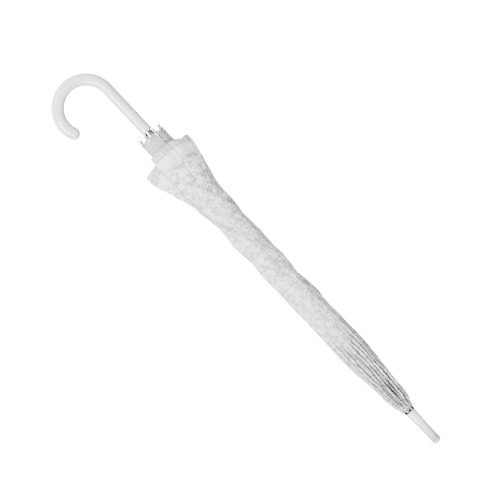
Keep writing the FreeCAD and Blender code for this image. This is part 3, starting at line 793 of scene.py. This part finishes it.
def make_inner(rib, outer_points, outer_weights, next_seam, next_seam_open):
    """The layer under the flap, from the fold edge back to the next rib's seam.  Both of its edges
    are placed so that at the open limit they meet the flap's edge and reach a little past the next
    gore's seam."""
    blend, shift = inner_blend(rib), SHIFTS[rib]
    fold = resampled(outer_points[:, -1])
    fold_weight = resampled(outer_weights[:, -1])
    fold_radius = np.hypot(fold[:, 0], fold[:, 1])
    start_edge = placed(blend, shift, fold_weight, fold + fold_weight[:, None] * shift,
                        lambda edge: fold_radius - UNDER_EDGE)
    down_rib = (CROWN - fold[:, 2:]) / RIB_LENGTH
    overlap = SEAM_OVERLAP * shift / np.linalg.norm(shift) * down_rib
    end_edge = placed(blend, shift, resampled((CROWN - next_seam[:, 2]) / RIB_LENGTH),
                      resampled(to_rib(rib, next_seam_open)) + overlap,
                      lambda edge: bundle_radius(edge[:, 2]) - UNDER_BUNDLE)

    share = np.linspace(0, 1, INNER_COLUMNS)[None, :]
    down = np.linspace(0, 1, INNER_ROWS)[:, None]
    start_turn = np.minimum(np.mod(turns_past(rib, start_edge), 2 * math.pi),
                            np.mod(turns_past(rib, fold), 2 * math.pi))[:, None]
    end_turn = (np.mod(turns_past(rib, end_edge) + math.pi, 2 * math.pi) - math.pi)[:, None]
    turn = start_turn + (end_turn - start_turn) * share
    height = start_edge[:, 2:] + (end_edge[:, 2:] - start_edge[:, 2:]) * share
    height = height - POINT_DROP * (smoothstep((share - 0.84) / 0.16) - share) * down ** 3
    start_radius = np.hypot(start_edge[:, 0], start_edge[:, 1])[:, None]
    end_radius = np.hypot(end_edge[:, 0], end_edge[:, 1])[:, None]
    flap = wrapped(rib, turn, height, np.clip(turn / np.maximum(start_turn, 0.1), 0, 1))
    under = np.hypot(flap[..., 0], flap[..., 1]) - 0.45 * LAYER - UNDER_BELL * flare_share(height)
    under = under - UNDER_PLEATS * smoothstep((height - PLEAT_FOOT) / 0.09)
    lean = smoothstep(share / FOLD_SHARE)
    ends = smoothstep((share - 0.5) / 0.3)
    radius = start_radius * (1 - lean) + under * lean
    radius = radius * (1 - ends) + end_radius * ends
    azimuth = RIB_AZIMUTH[rib] + turn
    points = np.stack([radius * np.cos(azimuth), radius * np.sin(azimuth), height], -1)
    points[:, -1] = end_edge

    spread = points + blend.weight(points)[..., None] * shift
    steps = np.linalg.norm(np.diff(spread, axis=1), axis=2)
    u = np.concatenate([np.zeros((INNER_ROWS, 1)), np.cumsum(steps, axis=1)], axis=1)
    u = u + turn[:, :1] * FOLD_U_RADIUS + GORE_U
    ribbon = RIBBON_LEVEL + FLAPS[rib].rise * (1 - smoothstep(share / 0.5))
    band = (height - ribbon) / MM
    # painted shade: the inner layer a little darker all over, and darker towards the crown
    painted_shade = 0.1 + 0.5 * smoothstep((height - 0.40) / 0.08)
    thing = cloth_piece("gore_%d_inner" % (rib + 1), points, u, height, band, painted_shade)
    return thing, points, blend


def declare_folded(thing, points):
    """The steps down and across a folded piece's grid of points; nothing is done with them."""
    down, across = np.diff(points, axis=0), np.diff(points, axis=1)


def cloth_piece(name, points, u, height, band, painted_shade, closed=False):
    """A grid of cloth points as an object, with its UVs, its band layer and its painted-shade
    layer.
    """
    shape = points.shape[:2]
    u, height, band, painted_shade = (np.broadcast_to(values, shape).ravel()
                               for values in (u, height, band, painted_shade))
    thing = add_object(name, points.reshape(-1, 3), grid_faces(*shape, closed=closed), LACE)
    store_uv(thing.data, np.stack([u, height], -1))
    store(thing.data, "band", band)
    store(thing.data, "painted_shade", painted_shade)
    return thing


def make_canopy():
    """All eight gores, outer flaps first, because each inner layer ends on the next flap's seam."""
    outers = [make_outer(rib) for rib in range(RIBS)]
    for rib, (outer, points, blend) in enumerate(outers):
        after = (rib + 1) % RIBS
        _, next_points, next_blend = outers[after]
        seam = next_points[:, 0]
        seam_open = opened(after, seam + next_blend.weight(seam)[:, None] * SHIFTS[after])
        weights = blend.weight(points)
        inner, inner_points, inner_map = make_inner(rib, points, weights, seam, seam_open)
        body, cloth = "rib_%d" % (rib + 1), "gore_%d" % (rib + 1)
        for piece, mapping in ((outer, blend), (inner, inner_map)):
            tuple(mapping.start)
            tuple(mapping.end)
            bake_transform(piece)
        declare_folded(outer, points)
        declare_folded(inner, inner_points)
        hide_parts(cloth)


make_canopy()


# ------------------------------------------------------------------ handle, shaft, crown, ferrule
CROOK_RADIUS, CROOK_CENTRE, CROOK_TAIL = 0.0367, -0.0384, math.radians(20)
GRIP_RADIUS, GRIP_SWELL = 0.00775, 0.0006
EDGE_ROUND = 0.0012


def crook_path():
    """Centre line of the crook, from the grip's top round to its end."""
    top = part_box("handle")[1][2]
    points = [(0.0, height) for height in np.linspace(top, CROOK_CENTRE, 14)]
    for turn in np.linspace(0, math.pi + CROOK_TAIL, 60)[1:]:
        points.append((CROOK_RADIUS - CROOK_RADIUS * math.cos(turn),
                       CROOK_CENTRE - CROOK_RADIUS * math.sin(turn)))
    return points


def swept_tube(name, path, radii, material, segments=48):
    """A tube along a path in the XZ plane, with a radius for each point and flat closed ends."""
    vertices = []
    path = np.array(path)
    tangents = np.gradient(path, axis=0)
    tangents /= np.linalg.norm(tangents, axis=1)[:, None]
    for (x, z), (tx, tz), radius in zip(path, tangents, radii):
        for step in range(segments):
            turn = 2 * math.pi * step / segments
            side, depth = radius * math.cos(turn), radius * math.sin(turn)
            vertices.append((x + tz * side, depth, z - tx * side))
    return add_object(name, vertices, capped_faces(len(path), segments), material)


def stand(thing, foot, way):
    """Stand a turned piece on a point, with its axis along a direction."""
    turn = Vector((0, 0, 1)).rotation_difference(way.normalized())
    thing.data.transform(Matrix.Translation(foot) @ turn.to_matrix().to_4x4())


def make_handle():
    """The crook, a little thicker below its top, and the rounded plug in its end."""
    path = crook_path()
    radii = [GRIP_RADIUS + GRIP_SWELL * float(smoothstep((k - 10) / 20)) for k in range(len(path))]
    corner = arc_points(radii[0] - EDGE_ROUND, path[0][1] - EDGE_ROUND, EDGE_ROUND, 90, 0, 7)
    tube = swept_tube("crook_handle", [(0.0, height) for _, height in corner] + path[1:],
                      [radius for radius, _ in corner] + radii[1:], WHITE_PLASTIC)
    radius = radii[-1]
    profile = [(0.0, -0.006), (radius - EDGE_ROUND, -0.006), (radius - EDGE_ROUND, 0.0002),
               (radius - EDGE_ROUND / 2, 0.0004)]
    profile += arc_points(0.0, 0.0008, radius - 0.0001, 4, 90, 18)
    plug = lathe("crook_end_plug", profile, WHITE_PLASTIC, 64)
    end, before = (Vector((x, 0, z)) for x, z in (path[-1], path[-2]))
    stand(plug, end, end - before)
    stand_for(tube, "handle")
    stand_for(plug, "handle_end_plug")


def make_shaft_line():
    """The ferrule and the collar under it, turned about the shaft."""
    foot_radius, tip_radius, tip_round, taper_end = 0.0073, 0.0062, 0.0045, 0.556
    low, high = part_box("ferrule")
    base, top = low[2], high[2]
    profile = [(0.0, base), (foot_radius - 0.0005, base), (foot_radius, base + 0.0005),
               (tip_radius + 0.0001, taper_end - 0.0005), (tip_radius, taper_end + 0.0005),
               (tip_radius, top - tip_round)]
    profile += arc_points(tip_radius - tip_round, top - tip_round, tip_round, 0, 90, 12)
    ferrule = lathe("ferrule_spike", profile + [(0.0, top)], WHITE_PLASTIC)
    stand_for(ferrule, "ferrule")

    bore, edge = 0.0052, 0.0009
    low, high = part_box("crown_ring")
    base, top, inner = low[2], high[2], high[0] - 0.0007 - edge
    profile = [(bore, base), (inner, base)] + arc_points(inner, base + edge, edge, -90, 0, 6)
    profile += arc_points(inner, top - edge, edge, 0, 90, 6) + [(bore, top)]
    collar = lathe("crown_collar", profile, DARK_CHROME)
    stand_for(collar, "crown_ring")


def cloth_ring(name, rows, columns, shape):
    """A closed ring of cloth round the shaft; shape gives each point's radius, height, distance
    along the cloth and painted shade, from its share across the cloth and its turn."""
    share = np.linspace(0, 1, rows)[:, None]
    turn = np.linspace(0, 2 * math.pi, columns, endpoint=False)[None, :]
    radius, height, u, painted_shade = shape(share, turn)
    height = height + 0 * turn
    points = np.stack([radius * np.cos(turn), radius * np.sin(turn), height], -1)
    return cloth_piece(name, points, u, height, NO_BAND, painted_shade, closed=True)


def make_crown_cap():
    """The cap of gathered cloth between the collar and the gores."""
    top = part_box("crown_cap")[1][2]

    def shape(share, turn):
        height = top + 0.0003 - (top - CANOPY_TOP + 0.0045) * share
        gathers = pleats(height, turn)
        radius = 0.0086 + 0.0017 * smoothstep(share * 1.5) + gathers * (0.4 + 0.6 * share)
        # painted shade in the pleats' valleys
        return radius, height, turn * 0.01, pleat_shade(gathers)

    cap = cloth_ring("crown_gather", 14, 240, shape)
    stand_for(cap, "crown_cap")


def make_rib_tips():
    """Eight bright caps: a plain sleeve, a neck and a ball."""
    lean = math.asin(RIB_LEAN)
    profile = [(0.0, 0.0), (0.0019, 0.0), (0.0021, 0.0003), (0.0021, 0.0062), (0.0015, 0.0069),
               (0.0015, 0.0078), (0.0020, 0.0083), (0.0023, 0.0092)]
    profile += arc_points(0.0, 0.0100, 0.0022, 0, 90, 8)
    length = profile[-1][1]
    for rib, azimuth in enumerate(RIB_AZIMUTH):
        node = "rib_tip_%d" % (rib + 1)
        low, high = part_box(node)
        tip = lathe("rib_cap_%d" % (rib + 1), profile, CHROME, 28)
        sleeve_top = Vector(((low[0] + high[0]) / 2, (low[1] + high[1]) / 2, low[2] + length))
        out = Vector((math.cos(azimuth), math.sin(azimuth), 0))
        stand(tip, sleeve_top, out * math.sin(lean) - Vector((0, 0, math.cos(lean))))
        stand_for(tip, node, body="rib_%d" % (rib + 1))


def make_tie_strap():
    """A narrow band round the neck of the bundle, carried by the first rib."""
    low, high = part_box("tie_strap")
    margin, neck_radius, rib_side = 0.001, 0.0174, 0.0215

    def shape(share, turn):
        height = low[2] - margin + (high[2] - low[2] + 2 * margin) * share
        height = height + 0.0006 * np.sin(3 * turn)
        radius = neck_radius + 0.0003 * np.sin(math.pi * share) + 0.0002 * np.sin(5 * turn)
        return radius, height, turn * 0.02, 0.0

    strap = cloth_ring("neck_strap", 9, 160, shape)
    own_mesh(strap)
    stand_for(strap, "tie_strap", body="rib_1")


make_handle()
make_shaft_line()
make_crown_cap()
make_rib_tips()
make_tie_strap()

FINISHES = {"shaft": CHROME, "crown_wire": SPRING_STEEL, "bottom_catch": SPRING_STEEL,
            "top_catch": SPRING_STEEL, "crown_notch": RUNNER_PLASTIC, "runner": RUNNER_PLASTIC,
            "tie_snap": CHROME}
for number in range(1, RIBS + 1):
    FINISHES["rib_%d" % number] = WIRE_STEEL
    FINISHES["stretcher_%d" % number] = WIRE_STEEL
    FINISHES["rib_pin_%d" % number] = SPRING_STEEL
for node, finish in FINISHES.items():
    for slot in NODES[node].material_slots:
        slot.material = finish


# ------------------------------------------------------------------ camera, light and floor
def make_camera():
    """Level, along +Y, rolled so that the shaft runs down to the right."""
    aim, roll = Vector((0.0086, 0.0, 0.2211)), math.radians(46.8088)
    lens, sensor, width_seen = 120.0, 36.0, 0.6182
    shaft_way, crook_way = Vector((0, 0, 1)), Vector((1, 0, 0))
    right = math.cos(roll) * shaft_way - math.sin(roll) * crook_way
    up = -math.sin(roll) * shaft_way - math.cos(roll) * crook_way
    back = right.cross(up)
    data = bpy.data.cameras.new("camera")
    data.lens = lens
    data.sensor_width = sensor
    camera = bpy.data.objects.new("camera", data)
    bpy.context.scene.collection.objects.link(camera)
    place = aim + back * lens / sensor * width_seen
    turn = Matrix((right, up, back)).transposed()
    camera.matrix_world = Matrix.Translation(place) @ turn.to_4x4()
    bpy.context.scene.camera = camera


def add_area(name, location, target, size, power):
    """A soft rectangular lamp that faces a point."""
    data = bpy.data.lights.new(name, "AREA")
    data.shape = "RECTANGLE"
    data.size, data.size_y = size
    data.energy = power
    light = bpy.data.objects.new(name, data)
    light.location = location
    facing = Vector(target) - Vector(location)
    light.rotation_euler = facing.to_track_quat("-Z", "Y").to_euler()
    bpy.context.scene.collection.objects.link(light)


def make_floor():
    """A plain pale floor, low enough to stay out of the level view."""
    level, radius, corners = -1.2, 3.5, 96
    shader = Shader("pale_floor", roughness=0.9)
    tone = shader.noise(shader.object_space(), 6.0, 2.0)
    shader.link(shader.mix(tone, (0.95,) * 3, (0.97,) * 3), shader.bsdf.inputs["Base Color"])
    shader.set("Emission Color", (1, 1, 1, 1))
    shader.set("Emission Strength", 0.9)
    turns = [2 * math.pi * k / corners for k in range(corners)]
    rim = [(radius * math.cos(turn), radius * math.sin(turn), level) for turn in turns]
    floor = add_object("floor", rim, [tuple(range(corners))], shader.material, smooth=False)


# the strengths of the white backdrop and of the dome, and the dome's tone from front to back
BACKDROP_STRENGTH, DOME_STRENGTH = 25.0, 0.55
DOME = [(0.0, 1.0), (0.3, 0.5), (0.45, 0.14), (0.6, 0.06), (1.0, 0.05)]


def make_world():
    """White behind the object; what lights it and what its metal mirrors is a dome, bright on the
    front and dark behind."""
    world = bpy.data.worlds.new("studio")
    world.use_nodes = True
    tree = world.node_tree
    add, link = tree.nodes.new, tree.links.new
    seen = tree.nodes["Background"]
    seen.inputs["Color"].default_value = (1, 1, 1, 1)
    seen.inputs["Strength"].default_value = BACKDROP_STRENGTH
    dome = add("ShaderNodeBackground")
    dome.inputs["Strength"].default_value = DOME_STRENGTH
    direction = add("ShaderNodeTexCoord")
    split = add("ShaderNodeSeparateXYZ")
    link(direction.outputs["Generated"], split.inputs["Vector"])
    share = add("ShaderNodeMapRange")
    share.inputs["From Min"].default_value = -1.0
    link(split.outputs["Y"], share.inputs["Value"])
    ramp = add("ShaderNodeValToRGB")
    stops = ramp.color_ramp.elements
    while len(stops) < len(DOME):
        stops.new(0.5)
    for stop, (place, tone) in zip(stops, DOME):
        stop.position = place
        stop.color = (tone, tone, tone, 1)
    link(share.outputs["Result"], ramp.inputs["Fac"])
    link(ramp.outputs["Color"], dome.inputs["Color"])
    path = add("ShaderNodeLightPath")
    mixed = add("ShaderNodeMixShader")
    link(path.outputs["Is Camera Ray"], mixed.inputs["Fac"])
    link(dome.outputs["Background"], mixed.inputs[1])
    link(seen.outputs["Background"], mixed.inputs[2])
    link(mixed.outputs["Shader"], tree.nodes["World Output"].inputs["Surface"])
    bpy.context.scene.world = world


make_camera()
make_world()
make_floor()
add_area("key", (1.25, -1.5, 0.1), (0, 0, 0.22), (0.7, 1.4), 165)
add_area("fill", (-1.3, -1.0, 0.7), (0, 0, 0.25), (0.5, 1.2), 26)
add_area("back", (0.5, 1.5, 1.5), (0, 0, 0.25), (1.2, 1.2), 18)
